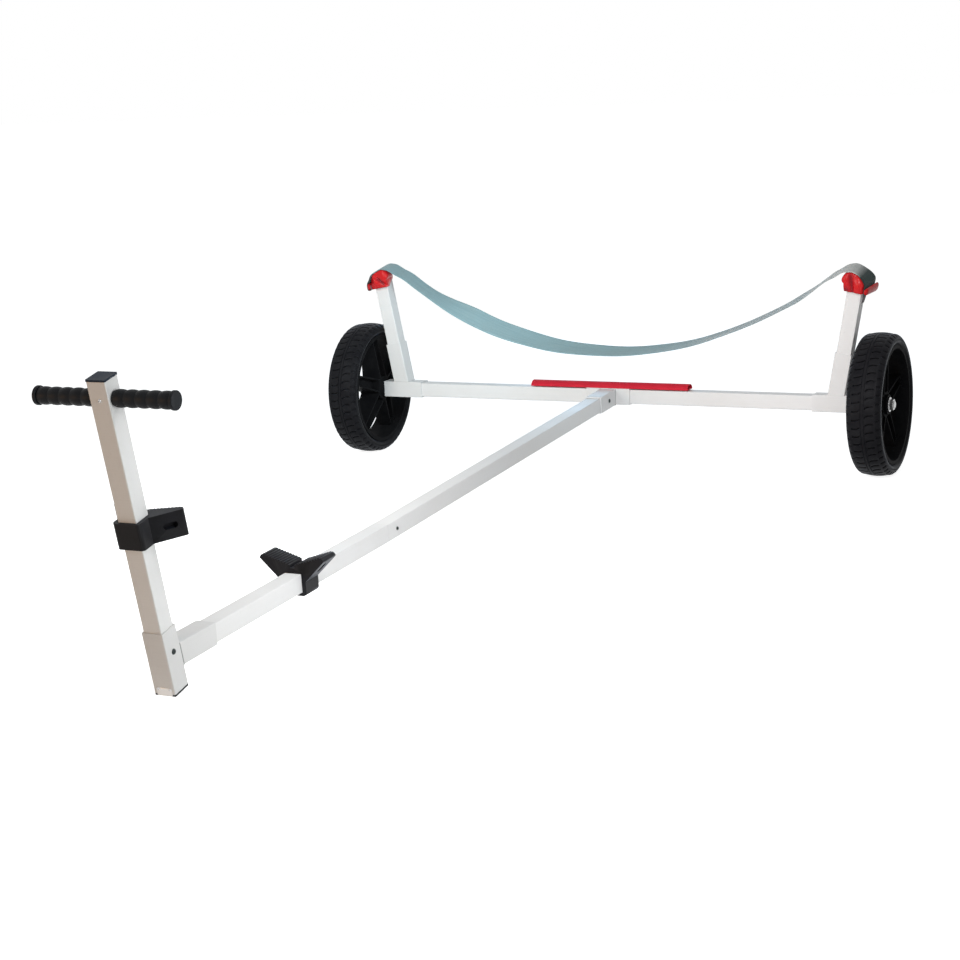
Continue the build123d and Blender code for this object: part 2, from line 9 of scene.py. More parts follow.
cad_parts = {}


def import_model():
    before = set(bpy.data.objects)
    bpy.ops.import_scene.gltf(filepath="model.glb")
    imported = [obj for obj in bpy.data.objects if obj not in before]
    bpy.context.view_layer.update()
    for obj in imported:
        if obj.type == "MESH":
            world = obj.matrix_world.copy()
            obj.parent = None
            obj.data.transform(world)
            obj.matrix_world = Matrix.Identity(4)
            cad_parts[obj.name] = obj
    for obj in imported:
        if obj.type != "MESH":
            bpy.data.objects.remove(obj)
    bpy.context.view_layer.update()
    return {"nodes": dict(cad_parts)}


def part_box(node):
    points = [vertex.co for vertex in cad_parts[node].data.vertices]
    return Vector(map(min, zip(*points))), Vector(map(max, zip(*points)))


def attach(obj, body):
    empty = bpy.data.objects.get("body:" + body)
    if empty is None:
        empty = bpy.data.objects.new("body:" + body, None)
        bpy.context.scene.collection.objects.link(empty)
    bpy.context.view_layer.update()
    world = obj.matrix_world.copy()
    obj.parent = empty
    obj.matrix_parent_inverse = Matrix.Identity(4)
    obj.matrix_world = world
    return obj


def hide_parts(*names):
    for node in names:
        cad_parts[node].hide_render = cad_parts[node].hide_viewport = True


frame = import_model()
scene = bpy.context.scene
nodes_of = frame["nodes"]

# ---------------------------------------------------------------- places and sizes of the CAD
X, Y, Z = Vector((1, 0, 0)), Vector((0, 1, 0)), Vector((0, 0, 1))
SIDES = {-1: "left", 1: "right"}
SAME_POINT = 0.00001                       # points closer than this are one

wheel_low, wheel_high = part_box("tyre_right")
AXLE_Y = (wheel_low.y + wheel_high.y) / 2
BEAM_Z = (wheel_low.z + wheel_high.z) / 2
WHEEL_X = (wheel_low.x + wheel_high.x) / 2
WHEEL_R = (wheel_high.z - wheel_low.z) / 2

TUBE, SOCKET = 0.020, 0.023                # half the width of the tubes and of their sockets
REAR_SLOPE, FRONT_SLOPE, POST_LEAN = (math.radians(v) for v in (3.26, 2.56, 12.78))
REAR_LENGTH, FRONT_LENGTH = 1.3915, 0.8555
axle = Vector((0, AXLE_Y, BEAM_Z))
rear_dir = Vector((0, -math.cos(REAR_SLOPE), -math.sin(REAR_SLOPE)))
front_dir = Vector((0, -math.cos(FRONT_SLOPE), -math.sin(FRONT_SLOPE)))
post_dir = Vector((0, -math.sin(POST_LEAN), math.cos(POST_LEAN)))
post_front = Vector((0, -math.cos(POST_LEAN), -math.sin(POST_LEAN)))
joint = axle + rear_dir * REAR_LENGTH
foot = joint + front_dir * FRONT_LENGTH

UPRIGHT_LEAN, UPRIGHT_TOP = math.radians(10.3), 0.304
upright_foot = Vector((0.6573, AXLE_Y, BEAM_Z + SOCKET))
upright_out = Vector((math.cos(UPRIGHT_LEAN), 0, -math.sin(UPRIGHT_LEAN)))
upright_dir = Vector((math.sin(UPRIGHT_LEAN), 0, math.cos(UPRIGHT_LEAN)))

CROWN_FALL = math.radians(9.5)             # how much the saddles' crowns fall towards the front
STRAP_HALF, STRAP_THICK, STRAP_LONG = 0.033, 0.0024, 1.7229


def smooth(value, low, high):
    """0 below low, 1 above high, and a soft step between."""
    t = np.clip((np.asarray(value, float) - low) / (high - low), 0, 1)
    return t * t * (3 - 2 * t)


def bell(value, at, width):
    """1 at one place, fading away on both sides of it."""
    return np.exp(-((value - at) / width) ** 2)


def opaque(colour):
    """A colour with the fourth number that a shader socket takes."""
    return tuple(colour) + (1,)


# ---------------------------------------------------------------- material nodes
class Tree:
    """A few words for building a node tree."""

    def __init__(self, name, **sockets):
        self.material = bpy.data.materials.new(name)
        self.material.use_nodes = True
        self.nodes = self.material.node_tree.nodes
        self.links = self.material.node_tree.links
        self.shader = self.nodes["Principled BSDF"]
        for key, value in sockets.items():
            self.shader.inputs[key.replace("_", " ")].default_value = value
        self.point = self.add("ShaderNodeTexCoord").outputs["Object"]

    def add(self, kind, **inputs):
        node = self.nodes.new(kind)
        for key, value in inputs.items():
            self.put(node, key.replace("_", " "), value)
        return node

    def put(self, node, key, value):
        if isinstance(value, bpy.types.NodeSocket):
            self.links.new(value, node.inputs[key])
        else:
            node.inputs[key].default_value = value

    def math(self, operation, a, b=0.0):
        node = self.nodes.new("ShaderNodeMath")
        node.operation = operation
        self.put(node, 0, a)
        self.put(node, 1, b)
        return node.outputs[0]

    def noise(self, scale, detail=2.0, roughness=0.5, vector=None):
        return self.add("ShaderNodeTexNoise", Scale=scale, Detail=detail, Roughness=roughness,
                        Vector=vector or self.point).outputs["Fac"]

    def streaks(self, cells, rotation, detail, roughness):
        """Noise with so many cells to a metre along each axis, once the point is turned."""
        node = self.add("ShaderNodeMapping", Vector=self.point)
        node.inputs["Rotation"].default_value = rotation
        node.inputs["Scale"].default_value = cells
        return self.noise(1.0, detail, roughness, node.outputs["Vector"])

    def span(self, value, low, high, to_low=0.0, to_high=1.0):
        node = self.add("ShaderNodeMapRange", Value=value)
        for key, number in zip(("From Min", "From Max", "To Min", "To Max"), (low, high, to_low, to_high)):
            node.inputs[key].default_value = number
        return node.outputs["Result"]

    def share(self, value, gain):
        return self.math("MULTIPLY", value, gain)

    def wave(self, value, period):
        """0 to 1 and back, once in each period of the value."""
        return self.span(self.math("SINE", self.share(value, 2 * math.pi / period)), -1, 1)

    def mix(self, factor, a, b):
        node = self.nodes.new("ShaderNodeMix")
        node.data_type = "RGBA"
        for key, value in ((0, factor), (6, a), (7, b)):         # the sockets for colours
            self.put(node, key, value)
        return node.outputs[2]

    def bump(self, height, strength, distance):
        return self.add("ShaderNodeBump", Height=height, Strength=strength, Distance=distance).outputs["Normal"]

    def edge(self, amount):
        """1 on sharp outer edges, from the mesh's own shape."""
        return self.span(self.add("ShaderNodeNewGeometry").outputs["Pointiness"], 0.5 + amount, 0.5 + 4 * amount)

    def finish(self, colour, roughness, normal):
        self.links.new(colour, self.shader.inputs["Base Color"])
        self.links.new(roughness, self.shader.inputs["Roughness"])
        self.links.new(normal, self.shader.inputs["Normal"])
        return self.material


# streaks as cells to a metre along each axis, and how they are turned
DRAWN_CELLS = (3, 700, 700)                # draw lines: long along the tube, fine across it
SCRATCH_CELLS, SCRATCH_TURN = (24, 900, 500), (0.2, 0.1, 0.35)
SCUFF_CELLS, SCUFF_TURN = (60, 240, 110), (0.3, 0.2, 0.5)


def grey(value, warm=0.0):
    return (value * (1 + warm), value, value * (1 - warm), 1)


def aluminium(name, rotation=(0, 0, 0), base=0.76, rough=0.45, metallic=0.06):
    """Satin tube, with faint draw lines along local X once the point is turned by rotation."""
    t = Tree(name, Metallic=metallic, Specular_IOR_Level=0.3)
    fine = t.streaks(DRAWN_CELLS, rotation, 3, 0.6)
    broad = t.noise(5.0, 3, 0.55)
    spots = t.noise(170.0, 2, 0.5)
    scratch = t.streaks(SCRATCH_CELLS, SCRATCH_TURN, 2, 0.5)
    colour = t.mix(t.span(broad, 0.35, 0.65), grey(base - 0.02, 0.004), grey(base + 0.02, -0.004))
    for mask, low, high, gain, tone in ((fine, 0.45, 0.75, 0.22, base - 0.10),
                                        (spots, 0.66, 0.74, 0.22, base - 0.16),
                                        (scratch, 0.70, 0.78, 0.25, min(1.0, base + 0.10))):
        colour = t.mix(t.share(t.span(mask, low, high), gain), colour, grey(tone))
    wear = t.math("ADD", t.span(broad, 0.3, 0.7, rough - 0.05, rough + 0.07), t.span(fine, 0.3, 0.7, -0.03, 0.05))
    height = t.math("ADD", t.share(fine, 0.7), t.share(spots, 0.3))
    return t.finish(colour, wear, t.bump(height, strength=0.10, distance=0.0004))


def moulding(name, base, tint, rough=0.46, grain=900.0, depth=0.25, coat=0.0, scuffs=0.22, gloss=0.12, edges=0.35,
             sheen=0.0):
    """Moulded plastic or rubber with a fine grain, a slightly uneven gloss, pale scuffs and pale edges;
    it is darker with painted shade where a mesh's own "shade" says so."""
    t = Tree(name, Coat_Weight=coat, Specular_IOR_Level=gloss, Sheen_Weight=sheen, Sheen_Roughness=0.3,
             Sheen_Tint=(0.50, 0.66, 1.0, 1))
    big = t.noise(22.0, 3, 0.6)
    small = t.noise(grain, 2, 0.6)
    scuff = t.streaks(SCUFF_CELLS, SCUFF_TURN, 4, 0.65)
    shade = t.add("ShaderNodeAttribute")
    shade.attribute_name = "shade"
    pale = opaque(min(1.0, c * 1.8 + 0.015) for c in base)
    dark = opaque(c * k for c, k in zip(base, (0.22, 0.4, 0.9)))
    colour = t.mix(t.span(big, 0.35, 0.65), opaque(base), opaque(tint))
    colour = t.mix(t.share(t.span(scuff, 0.62, 0.78), scuffs), colour, pale)
    colour = t.mix(t.share(t.edge(0.02), edges), colour, pale)
    # painted shade, from the mesh's own shade attribute
    colour = t.mix(shade.outputs["Fac"], colour, dark)
    uneven = t.math("ADD", t.span(big, 0.3, 0.7, rough - 0.06, rough + 0.08), t.span(scuff, 0.55, 0.8, 0.0, 0.12))
    return t.finish(colour, uneven, t.bump(small, depth, 0.0003))


RIB, TWILL, WEFT = 0.0022, 0.0088, 0.0013  # periods of the weave: ribs, their lean, and the weft
TWILL_RUN = 0.0011                         # how far the weft steps along the strap with each lean
BANDS_ACROSS, BANDS_ALONG = 260.0, 6.0     # soft bands, cells to a metre
CLOTH = (0.275, 0.425, 0.470, 1), (0.335, 0.490, 0.530, 1)
# painted light on the strap's right half, and a painted highlight on its right crown
PAINTED_LIGHT_RIGHT = (0.335, 0.415, 0.440, 1), (0.390, 0.465, 0.480, 1)
PAINTED_HIGHLIGHT_CROWN = (0.62, 0.64, 0.62, 1), (0.70, 0.71, 0.70, 1)
# random blotches, and painted shade for the weave's valleys
BLOTCH, WEAVE_VALLEY_SHADE = (0.33, 0.44, 0.46, 1), (0.12, 0.185, 0.185, 1)
# painted shade where the strap hangs outside the crowns, and the cut ends' own colour
PAINTED_SHADE_OUTSIDE, CUT_END = (0.010, 0.022, 0.020, 1), (0.24, 0.21, 0.225, 1)


def webbing():
    """Polyester webbing: fine ribs along the strap, weft across them and soft bands; painted light towards the
    right, painted shade where it hangs outside and in the weave's valleys.  U runs across and V along, both in
    metres."""
    t = Tree("webbing", Sheen_Weight=0.4, Sheen_Roughness=0.35, Specular_IOR_Level=0.2)
    uv = t.add("ShaderNodeSeparateXYZ", Vector=t.add("ShaderNodeUVMap").outputs["UV"])
    across, along = uv.outputs["X"], uv.outputs["Y"]
    slant = t.share(t.wave(across, TWILL), TWILL_RUN)
    weft = t.wave(t.math("ADD", along, slant), WEFT)
    weave = t.math("ADD", t.share(t.wave(across, RIB), 0.6), t.share(weft, 0.4))
    flat = t.add("ShaderNodeCombineXYZ", X=t.share(across, BANDS_ACROSS), Y=t.share(along, BANDS_ALONG))
    bands = t.span(t.noise(1.0, 3, 0.6, flat.outputs["Vector"]), 0.35, 0.65)
    blotch = t.noise(18.0, 3, 0.6)
    colour = t.mix(bands, *CLOTH)
    colour = t.mix(t.share(t.span(blotch, 0.4, 0.7), 0.35), colour, BLOTCH)
    # painted light towards the right, brightest as a painted highlight on the right crown
    for start, end, pair in ((1.00, 1.25, PAINTED_LIGHT_RIGHT), (1.44, 1.60, PAINTED_HIGHLIGHT_CROWN)):
        colour = t.mix(t.span(along, start, end), colour, t.mix(bands, *pair))
    # painted shade where each end hangs outside its crown; the cut ends keep their own colour
    for start, end, tone in ((0.088, 0.064, PAINTED_SHADE_OUTSIDE), (STRAP_LONG - 0.094, STRAP_LONG - 0.072, PAINTED_SHADE_OUTSIDE),
                             (0.028, 0.018, CUT_END), (STRAP_LONG - 0.028, STRAP_LONG - 0.018, CUT_END)):
        colour = t.mix(t.span(along, start, end), colour, tone)
    # painted shade in the weave's valleys
    colour = t.mix(t.span(weave, 0.15, 0.5, 0.45, 0.0), colour, WEAVE_VALLEY_SHADE)
    return t.finish(colour, t.span(weave, 0.0, 1.0, 0.82, 0.66), t.bump(weave, 0.35, 0.0005))


QUARTER = math.radians(90)
MAT = {
    "along_x": aluminium("aluminium_beam"),
    "drawbar": aluminium("aluminium_drawbar", rotation=(0, 0, QUARTER)),
    "post": aluminium("aluminium_post", rotation=(0, QUARTER, QUARTER)),
    "upright": aluminium("aluminium_upright", rotation=(0, QUARTER, 0)),
    "weld": aluminium("aluminium_socket", base=0.74, rough=0.47),
    # painted shade: a darker copy of the socket's aluminium, for the front socket
    "front_weld": aluminium("aluminium_front_socket", base=0.68, rough=0.47),
    # painted shade: dark grey weld lines on the tees' sides, standing for the shadow line at each joint
    "seam": aluminium("aluminium_seam", base=0.30, rough=0.5),
    "bead": aluminium("aluminium_bead", base=0.62, rough=0.38, metallic=0.35),
    "plate": aluminium("aluminium_plate", base=0.78, rough=0.30, metallic=0.3),
    "steel": aluminium("zinc_steel", base=0.50, rough=0.26, metallic=0.8),
    "black_plastic": moulding("black_moulding", (0.009, 0.017, 0.030), (0.015, 0.024, 0.042), scuffs=0.2),
    "bolt": moulding("blackened_steel", (0.020, 0.026, 0.026), (0.035, 0.045, 0.045), rough=0.30, grain=400.0,
                     depth=0.1, gloss=0.2),
    "chock": moulding("chock_moulding", (0.009, 0.009, 0.010), (0.014, 0.014, 0.017), rough=0.38, grain=700.0,
                      depth=0.3, gloss=0.07, edges=0.45, sheen=0.12),
    "rim": moulding("rim_moulding", (0.009, 0.009, 0.010), (0.014, 0.014, 0.015), grain=800.0, depth=0.12,
                    scuffs=0.05, gloss=0.006, edges=0.03),
    "rubber": moulding("soft_rubber", (0.007, 0.008, 0.010), (0.011, 0.013, 0.016), grain=1100.0, depth=0.35),
    "tyre": moulding("tyre_rubber", (0.010, 0.010, 0.012), (0.017, 0.017, 0.019), rough=0.40, grain=500.0,
                     depth=0.35, scuffs=0.3, gloss=0.03, edges=0.3, sheen=0.08),
    "red": moulding("red_moulding", (0.66, 0.013, 0.016), (0.58, 0.010, 0.013), rough=0.28, grain=700.0,
                    depth=0.08, coat=0.06, scuffs=0.03, gloss=0.18, edges=0.0),
    "fender": moulding("red_fender", (0.60, 0.022, 0.042), (0.52, 0.016, 0.034), grain=500.0, depth=0.15,
                       scuffs=0.12, gloss=0.06),
    "webbing": webbing(),
}
# the look of each CAD node, and how wide its edges are softened; _left and _right share a name
LOOK = {"crossbeam": "along_x", "rear_tee": "weld", "drawbar_rear": "drawbar", "drawbar_spigot": "drawbar",
        "drawbar_front": "drawbar", "front_tee": "front_weld", "foot_cap": "rubber", "handle_post": "post",
        "post_cap": "black_plastic", "handlebar": "along_x", "grip": "rubber", "bow_chock": "chock",
        "keel_chock": "chock", "end_bracket": "weld", "upright": "upright", "saddle": "red", "strap": "webbing",
        "fender": "fender", "beam_plug": "black_plastic", "axle_nut": "steel", "axle": "steel", "rim": "rim",
        "tyre": "tyre"}
BEVEL = {"bow_chock": 0.0009, "keel_chock": 0.0009, "rim": 0.0020, "axle_nut": 0.0006, "post_cap": 0.0008,
         "foot_cap": 0.0006, "rear_tee": 0.0004, "front_tee": 0.0004, "end_bracket": 0.0004, "fender": 0.0006,
         "beam_plug": 0.0005, "crossbeam": 0.0010, "drawbar_rear": 0.0010, "drawbar_front": 0.0010,
         "handle_post": 0.0010, "upright": 0.0010}
BEVEL_ANGLE = math.radians(32)             # edges sharper than this are softened
for node_name, node in nodes_of.items():
    stem = node_name.replace("_left", "").replace("_right", "")
    node.data.materials.clear()
    node.data.materials.append(MAT[LOOK[stem]])
    if stem in BEVEL:
        weld = node.modifiers.new("weld", "WELD")
        weld.merge_threshold = SAME_POINT
        soft = node.modifiers.new("soft edges", "BEVEL")
        soft.width = BEVEL[stem]
        soft.segments = 3 if stem == "rim" else 2
        soft.limit_method = "ANGLE"
        soft.angle_limit = BEVEL_ANGLE


# ---------------------------------------------------------------- mesh helpers
def piece(name, points, faces, body, look, sharp, stands_for=()):
    """A new object from points and faces, smooth but for edges sharper than so many degrees, with its
    material, its body and what it stands for."""
    mesh = bpy.data.meshes.new(name)
    mesh.from_pydata([tuple(p) for p in points], [], faces)
    mesh.validate()
    mesh.shade_smooth()
    mesh.set_sharp_from_angle(angle=math.radians(sharp))
    mesh.materials.append(MAT[look])
    obj = bpy.data.objects.new(name, mesh)
    scene.collection.objects.link(obj)
    if stands_for:
        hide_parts(*stands_for)
    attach(obj, body)
    return obj


def grid_faces(rows, columns, ring=False):
    """Quads over rows of points, each row a closed loop; ring joins the last row to the first, and
    otherwise the first and last rows are closed by a face each."""
    faces = []
    for i in range(rows if ring else rows - 1):
        a, b = i * columns, (i + 1) % rows * columns
        faces += [(a + j, b + j, b + (j + 1) % columns, a + (j + 1) % columns) for j in range(columns)]
    if not ring:
        faces += [tuple(range(columns)), tuple(range(rows * columns - 1, (rows - 1) * columns - 1, -1))]
    return faces


def around(axis, steps):
    """Directions square to an axis, evenly round it, each with its turn from the first."""
    axis = axis.normalized()
    a = axis.orthogonal().normalized()
    b = axis.cross(a)
    for i in range(steps):
        turn = 2 * math.pi * i / steps
        yield turn, a * math.cos(turn) + b * math.sin(turn)


LATHE_STEPS = 36
SIXTH = math.pi / 3


def lathe(name, at, towards, profile, look, hex_rows=()):
    """A fastener turned about an axis from (radius, height) pairs; the rows in hex_rows are hexagons."""
    points = []
    for k, (radius, height) in enumerate(profile):
        for turn, ray in around(towards, LATHE_STEPS):
            flat = math.cos(SIXTH / 2) / math.cos((turn + SIXTH / 2) % SIXTH - SIXTH / 2)
            reach = radius * (flat if k in hex_rows else 1)
            points.append(at + towards.normalized() * height + ray * reach)
    return piece(name, points, grid_faces(len(profile), LATHE_STEPS), "chassis", look, 30)


RIPPLE, BEAD_STEP, BEAD_COLUMNS = 0.0030, 0.0005, 10
RIPPLE_LOW, RIPPLE_UNEVEN = 0.86, 0.04     # shares of a bead's radius
TAPER_FROM, TAPER_GAIN = 0.45, 250         # its share at the very end, and how fast it thickens, per metre


def bead(name, start, end, radius, look="bead"):
    """A weld bead: a solid with overlapping ripples along a line, thinner at its ends."""
    length = (end - start).length
    count = max(8, int(length / BEAD_STEP))
    points = []
    for i in range(count + 1):
        s = length * i / count
        ripple = (RIPPLE_LOW + (1 - RIPPLE_LOW) * abs(math.sin(math.pi * s / RIPPLE))
                  + RIPPLE_UNEVEN * math.sin(9.1 * s / RIPPLE))
        taper = min(1.0, TAPER_FROM + TAPER_GAIN * min(s, length - s))
        points += [start.lerp(end, s / length) + ray * radius * ripple * taper
                   for _, ray in around(end - start, BEAD_COLUMNS)]
    return piece(name, points, grid_faces(count + 1, BEAD_COLUMNS), "chassis", look, 60)


def seam_corners(origin, along, across, over, half, point, normal):
    """Where the four edges of a square bar cross a plane."""
    corners = []
    for a, b in ((-1, -1), (1, -1), (1, 1), (-1, 1)):
        start = origin + across * half * a + over * half * b
        corners.append(start + along * ((point - start).dot(normal) / along.dot(normal)))
    return corners


# ---------------------------------------------------------------- tyres
PITCHES = 52                               # how often the tread repeats round the tyre
PITCH = 2 * math.pi * WHEEL_R / PITCHES
LUG = np.array((-8.6, -5.6, -3.4, -2.3, -1.7, 0.0, 1.7, 2.3, 3.4, 5.6, 8.6, 11.57))   # lines round it, mm
SLOT_CUT = (0, 1.7, 2.3, 3.4, 5.6, 8.6, 11.57), (6.2, 6.0, 0.7, 0.30, 0.12, 0.03, 0)  # depth by line, mm
NOTCH_CUT = (0, 2.3, 3.4, 5.6, 11.57), (3.6, 3.6, 0.6, 0.1, 0)
SLOT_IN, SLOT_OUT, SHOULDER = 0.0062, 0.0290, 0.0345     # from the tyre's middle: a slot's ends, the notches
PLAIN, SLOT, NOTCH = 0, 1, 2               # how each line of the outline is cut
TREAD_X, TREAD_FALL = 0.0295, math.radians(14)           # where the tread ends, and how it falls there
SIDE_X, CORNER_R = 0.0455, 0.016           # half the tyre's width, and the radius of its shoulder
# the outline: (x, depth) of the middle, x of the slotted lines, (degrees, cut) of the shoulder, (x, r) of the side
CENTRE_GROOVE = (0, 0), (0.0031, 0), (0.0035, 0.0020), (0.0048, 0.0020), (0.0052, 0), (SLOT_IN, 0)
SLOTTED = 0.0068, 0.0082, 0.0100, 0.0125, 0.0160, 0.0200, 0.0235, 0.0265, 0.0284
CORNER = ((14, PLAIN), (19, NOTCH), (28, NOTCH), (38, NOTCH), (49, NOTCH), (60, NOTCH), (66, PLAIN), (78, PLAIN),
          (90, PLAIN))
SIDEWALL = ((SIDE_X, 0.1762), (0.0450, 0.1757), (0.0450, 0.1745), (SIDE_X, 0.1740), (SIDE_X, 0.1672),
            (0.0450, 0.1662), (0.0410, 0.1631), (0.0376, 0.1606), (0.0376, 0.1537))


def tread_section():
    """Half of a tyre's outline as (x, r, normal x, normal r, cut), from its middle to its bead."""
    crown = TREAD_X / math.sin(TREAD_FALL)

    def top(x):
        return WHEEL_R - crown + math.sqrt(crown ** 2 - x ** 2)

    rows = [(x, top(x) - deep, 0, 1, PLAIN) for x, deep in CENTRE_GROOVE]
    rows += [(x, top(x), 0, 1, SLOT) for x in SLOTTED]
    rows += [(SLOT_OUT, top(SLOT_OUT), 0, 1, PLAIN)]
    centre_x, centre_r = SIDE_X - CORNER_R, top(TREAD_X) - CORNER_R * math.cos(TREAD_FALL)
    for degrees, cut in CORNER:
        a, b = math.sin(math.radians(degrees)), math.cos(math.radians(degrees))
        rows.append((centre_x + CORNER_R * a, centre_r + CORNER_R * b, a, b, cut))
    return rows + [(x, r, 1, 0, PLAIN) for x, r in SIDEWALL]


HOOK, HOOK_FADE = -3.4, 3.6                # mm: a slot starts with a hook that fades away,
BOW, BOW_MIDDLE, BOW_HALF, BOW_TURN = 1.5, 19, 13, 0.06      # and goes on as a slightly turned bow


def slot_path(x):
    """How far a slot runs round the tyre on its way out from the centre, metres."""
    mm = np.clip(x * 1000, SLOT_IN * 1000, SLOT_OUT * 1000)
    hook = HOOK * np.exp(-(mm - SLOT_IN * 1000) / HOOK_FADE)
    bow = BOW * (1 - ((mm - BOW_MIDDLE) / BOW_HALF) ** 2) + BOW_TURN * (mm - BOW_MIDDLE)
    return (hook + bow) / 1000


def tyre(side):
    half = tread_section()
    full = [(-x, r, -a, b, cut) for x, r, a, b, cut in reversed(half[1:])] + half
    x, r, nx, nr, cut = (np.array(column) for column in zip(*full))
    shoulder = smooth(np.abs(x), SLOT_OUT, SHOULDER) * PITCH / 3
    shift = np.where(x > 0, slot_path(x) + shoulder, -slot_path(-x) - PITCH / 2 - shoulder)
    ends = (-slot_path(SLOT_IN) - PITCH / 2, slot_path(SLOT_IN))
    shift = np.where(np.abs(x) < SLOT_IN, np.interp(x, (-SLOT_IN, SLOT_IN), ends), shift)
    slot, notch = (np.interp(np.abs(LUG), *table) / 1000 for table in (SLOT_CUT, NOTCH_CUT))
    depths = {PLAIN: np.zeros_like(slot), SLOT: slot, NOTCH: notch}
    depth = np.stack([depths[int(c)] for c in cut])              # stations across, lines in a pitch
    points = np.empty((PITCHES * len(LUG), len(x), 3))
    for p in range(PITCHES):
        for k, line in enumerate(LUG):
            turn = (p * PITCH + line / 1000 + shift) / WHEEL_R
            radius = r - nr * depth[:, k]
            station = np.stack([x - nx * depth[:, k], radius * np.sin(turn), radius * np.cos(turn)], -1)
            points[p * len(LUG) + k] = station
    points += (side * WHEEL_X, AXLE_Y, BEAM_Z)
    name = SIDES[side]
    faces = grid_faces(points.shape[0], points.shape[1], ring=True)
    return piece(f"tread_{name}", points.reshape(-1, 3), faces, f"wheel_{name}", "tyre", 34,
                 (f"tyre_{name}",))


# ---------------------------------------------------------------- saddles
def local(points, side):
    """Points as u outward from an upright, v up it from its top, and w towards the back."""
    q = np.asarray(points, float) * (side, 1, 1) - np.array(upright_foot)
    u = q @ np.array(upright_out)
    v = q @ np.array(upright_dir) - UPRIGHT_TOP
    return u, v, q[:, 1]


def world(u, v, w, side):
    """The way back from local()."""
    q = np.array(upright_foot) + np.outer(u, upright_out) + np.outer(v + UPRIGHT_TOP, upright_dir)
    q[:, 1] += w
    return q * (side, 1, 1)


BACK_OUT, BACK_UP = 0.115, 0.080           # a crown's back stands out, and on the right also up: slopes along w
FULL_FRONT, FULL_V, FULL_SPAN = 0.0135, 0.028, 0.0145    # the left one's fuller front: how far, where, how wide


def lean(u, v, w, side):
    """How a crown and the webbing on it stand: further out at the back, and there higher on the right
    one, while the left one is fuller in front."""
    out = BACK_OUT * w
    if side > 0:
        back = BACK_UP * (w + STRAP_HALF)
        out = out + back * (0.45 + 0.55 * smooth(v, -0.012, 0.012))
        v = v + back * smooth(v, -0.004, 0.018)
    else:
        out = out + FULL_FRONT * bell(v, FULL_V, FULL_SPAN) * smooth(-w, -0.02, 0.03)
    return u + out * smooth(u, 0.0, 0.028), v


def hill(u, v, at, size):
    """1 at one place on a face, fading away all round it."""
    return bell(u, at[0], size[0]) * bell(v, at[1], size[1])


VOXEL, MELT, LAST_MELT = 0.0011, 10, 11
CAP_W = 0.036                              # half the cap's length, front to back
LOBES = (((-0.020, 0.010), (0.019, 0.026)), ((0.013, -0.001), (0.020, 0.026)))        # middle and size, (u, v)
CREASE = {-1: (-0.0058, 0.95), 1: (-0.0071, -0.225)}      # its u at the upright's top, and its slope
# the crease's width, and how wide the painted shade along the left one's crease is
CREASE_WIDTH, SHADE_WIDTH = 0.0048, 0.0070
GROOVE_U, GROOVE_WIDTH = 0.0308, 0.0022    # between the cap and its keeper
# how much is taken off w: between the lobes, in the crease, in the groove, off the left one's outer front
OFF_LOBES, OFF_CREASE, OFF_GROOVE, OFF_FRONT = 0.20, 0.13, 0.16, 0.26
ROLL, ROLL_V, ROLL_SPAN = {-1: 0.0060, 1: 0.0082}, -0.003, 0.021       # how far the inner side swells, and where
DRAWN_IN, DRAWN_IN_LOW = 0.016, 0.011      # how far its back is drawn in, and its lower edge
KEEPER_LONGER = 0.03                       # a share of its length
# the keeper's middle line, how much it rises to the back, and half its height: as shown and in the CAD
KEEPER_V, KEEPER_TILT, KEEPER_HALF, KEEPER_SWELL = -0.0090, 0.0042, 0.0115, 0.0015
CAD_KEEPER_V, CAD_KEEPER_TILT, CAD_KEEPER_HALF = -0.0084, 0.0055, 0.0079
KEEPER_BULGE, KEEPER_END = 0.0028, 0.55    # how far its outer face bulges, and how much its ends are rounded
UNDER_ROLL_SHADE, UNDER_ROLL_SHADE_SIZE = (-0.020, -0.018), (0.010, 0.009)        # painted shade in a patch low on the right one's inner front, under the roll


def melted(source, name):
    """A copy of a CAD piece with its edges melted."""
    copy = bpy.data.objects.new(name, source.data.copy())
    scene.collection.objects.link(copy)
    solid = copy.modifiers.new("solid", "REMESH")
    solid.mode = "VOXEL"
    solid.voxel_size = VOXEL
    melt = copy.modifiers.new("melt", "SMOOTH")
    melt.factor = 0.5
    melt.iterations = MELT
    mesh = bpy.data.meshes.new_from_object(copy.evaluated_get(bpy.context.evaluated_depsgraph_get()))
    copy.modifiers.clear()
    copy.data = mesh
    return copy


def crease_at(v, side):
    """Where the crease between the lobes runs, as u at each v."""
    at, slope = CREASE[side]
    return at + slope * v


def shape_faces(u, v, w, side, keeper, crease, groove):
    """Front to back: the lobes stay, and what is between them, the crease and the groove sink."""
    face = smooth(np.abs(w), 0.021, CAP_W) * (1 - keeper)
    lobes = sum(hill(u, v, at, size) ** 4 for at, size in LOBES) ** 0.25
    if side < 0:
        corner = smooth(u, 0.012, 0.022) * (1 - keeper) * smooth(-w, 0.0, 0.03) * smooth(v, -0.010, 0.002)
        w = w * (1 - OFF_FRONT * corner)
    w = w * (1 - face * (OFF_LOBES * (1 - lobes) + OFF_CREASE * crease) - OFF_GROOVE * groove)
    return w * (1 + KEEPER_LONGER * keeper)


def shape_inner(u, v, w, side):
    """The inner side swells, and is drawn in at the back."""
    inner = smooth(-u, 0.008, 0.030)
    u = u - ROLL[side] * inner * bell(v, ROLL_V, ROLL_SPAN)
    back = DRAWN_IN * smooth(w, 0.0, 0.038) * (1 - 0.5 * smooth(v, 0.012, 0.03))
    low = DRAWN_IN_LOW * smooth(w, -0.026, 0.010) * smooth(-v, -0.006, 0.018)
    return u + inner * (back + low)


